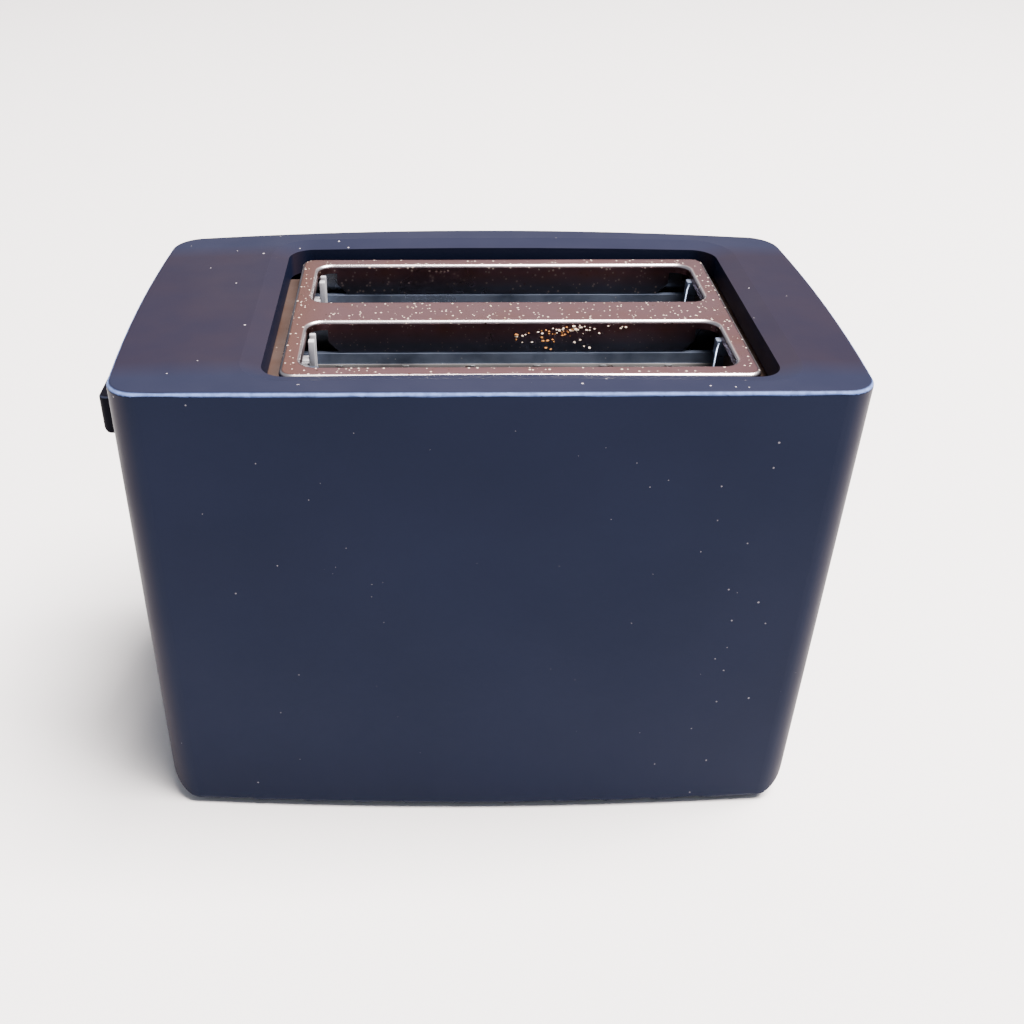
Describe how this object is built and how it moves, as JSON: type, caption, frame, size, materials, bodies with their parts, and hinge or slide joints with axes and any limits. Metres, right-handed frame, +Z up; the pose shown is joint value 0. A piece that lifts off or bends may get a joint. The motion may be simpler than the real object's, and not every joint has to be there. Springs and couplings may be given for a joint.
{
  "type": "pop up toaster",
  "caption": "Two-slot pop-up toaster: moulded shell, recessed metal top, side lever that lowers a sprung carriage, closing bread guards, browning dial, push buttons and crumb tray.",
  "frame": {"origin": "middle of the whole footprint, lever included, on the surface the feet stand on", "axes": "+Z up; X along the toaster with the lever at the -X end; -Y is the front face"},
  "size_m": [0.266, 0.15, 0.184],
  "materials": {
    "housing_plastic": "satin",
    "plate_steel": "satin, heat-tinted",
    "chassis_steel": "satin",
    "reflector_steel": "satin",
    "mica": "matte",
    "heating_ribbon": "matte, oxidised",
    "wire_steel": "satin",
    "lever_plastic": "satin",
    "knob_plastic": "satin",
    "button_plastic": "satin",
    "black_plastic": "matte",
    "rubber": "matte",
    "circuit_board": "satin",
    "core_iron": "matte",
    "copper": "satin",
    "rod_steel": "polished",
    "spring_steel": "satin",
    "screw_steel": "satin"
  },
  "bodies": {
    "body": {"base_plate": "black_plastic", "button_frame": "black_plastic", "button_switches": "black_plastic", "carriage_spring_front": "spring_steel", "carriage_spring_rear": "spring_steel", "centre_reflector": "reflector_steel", "chassis_screws": "screw_steel", "control_board": "circuit_board", "cord_bush": "black_plastic", "dial_body": "black_plastic", "end_plate_left": "chassis_steel", "end_plate_right": "chassis_steel", "foot_front_left": "rubber", "foot_front_right": "rubber", "foot_rear_left": "rubber", "foot_rear_right": "rubber", "guide_rod_front": "rod_steel", "guide_rod_rear": "rod_steel", "heater_card_front_inner": "mica", "heater_card_front_outer": "mica", "heater_card_rear_inner": "mica", "heater_card_rear_outer": "mica", "heater_ribbon_front_inner": "heating_ribbon", "heater_ribbon_front_outer": "heating_ribbon", "heater_ribbon_rear_inner": "heating_ribbon", "heater_ribbon_rear_outer": "heating_ribbon", "housing": "housing_plastic", "housing_screws": "screw_steel", "lower_bracket": "chassis_steel", "lower_channels": "chassis_steel", "magnet_coil": "copper", "magnet_core": "core_iron", "main_switch": "black_plastic", "reflector_front": "reflector_steel", "reflector_rear": "reflector_steel", "terminal_block": "black_plastic", "top_plate": "plate_steel", "upper_bracket": "chassis_steel", "upper_channels": "chassis_steel"},
    "carriage": {"carriage_plate": "chassis_steel", "carriage_slide": "black_plastic", "lever_arm": "chassis_steel", "lever_knob": "lever_plastic", "keeper": "core_iron", "bread_rack_front": "wire_steel", "bread_rack_rear": "wire_steel"},
    "browning_dial": {"browning_knob": "knob_plastic", "dial_shaft": "rod_steel"},
    "crumb_drawer": {"crumb_tray": "reflector_steel", "tray_handle": "housing_plastic"},
    "cancel_button": {"cancel_button": "button_plastic"},
    "reheat_button": {"reheat_button": "button_plastic"},
    "defrost_button": {"defrost_button": "button_plastic"},
    "bread_guard_front_inner": {"bread_guard_front_inner": "wire_steel"},
    "bread_guard_front_outer": {"bread_guard_front_outer": "wire_steel"},
    "bread_guard_rear_inner": {"bread_guard_rear_inner": "wire_steel"},
    "bread_guard_rear_outer": {"bread_guard_rear_outer": "wire_steel"}
  },
  "joints": [
    {"name": "carriage_slide", "type": "slide", "parent": "body", "child": "carriage", "axis": [0, 0, -1], "range_m": [0, 0.08], "stiffness_N_per_m": 60, "springref_m": -0.05, "deforming": ["carriage_spring_front", "carriage_spring_rear"]},
    {"name": "guard_front_inner_hinge", "type": "hinge", "parent": "body", "child": "bread_guard_front_inner", "pos_m": [0.0184, -0.0123, 0.044], "axis": [1, 0, 0], "range_deg": [0, 4]},
    {"name": "guard_front_outer_hinge", "type": "hinge", "parent": "body", "child": "bread_guard_front_outer", "pos_m": [0.0184, -0.0429, 0.044], "axis": [-1, 0, 0], "range_deg": [0, 4]},
    {"name": "guard_rear_inner_hinge", "type": "hinge", "parent": "body", "child": "bread_guard_rear_inner", "pos_m": [0.0184, 0.0123, 0.044], "axis": [-1, 0, 0], "range_deg": [0, 4]},
    {"name": "guard_rear_outer_hinge", "type": "hinge", "parent": "body", "child": "bread_guard_rear_outer", "pos_m": [0.0184, 0.0429, 0.044], "axis": [1, 0, 0], "range_deg": [0, 4]},
    {"name": "browning_dial_turn", "type": "hinge", "parent": "body", "child": "browning_dial", "pos_m": [-0.117, 0, 0.034], "axis": [-1, 0, 0], "range_deg": [0, 270]},
    {"name": "cancel_button_press", "type": "slide", "parent": "body", "child": "cancel_button", "axis": [1, 0, 0], "range_m": [0, 0.001], "stiffness_N_per_m": 600, "springref_m": -0.001},
    {"name": "reheat_button_press", "type": "slide", "parent": "body", "child": "reheat_button", "axis": [1, 0, 0], "range_m": [0, 0.001], "stiffness_N_per_m": 600, "springref_m": -0.001},
    {"name": "defrost_button_press", "type": "slide", "parent": "body", "child": "defrost_button", "axis": [1, 0, 0], "range_m": [0, 0.001], "stiffness_N_per_m": 600, "springref_m": -0.001},
    {"name": "crumb_tray_slide", "type": "slide", "parent": "body", "child": "crumb_drawer", "axis": [1, 0, 0], "range_m": [0, 0.12]}
  ],
  "couplings": [
    {"joint": "guard_front_inner_hinge", "follows": "carriage_slide", "rad_per_m": 0.85},
    {"joint": "guard_front_outer_hinge", "follows": "carriage_slide", "rad_per_m": 0.85},
    {"joint": "guard_rear_inner_hinge", "follows": "carriage_slide", "rad_per_m": 0.85},
    {"joint": "guard_rear_outer_hinge", "follows": "carriage_slide", "rad_per_m": 0.85}
  ]
}
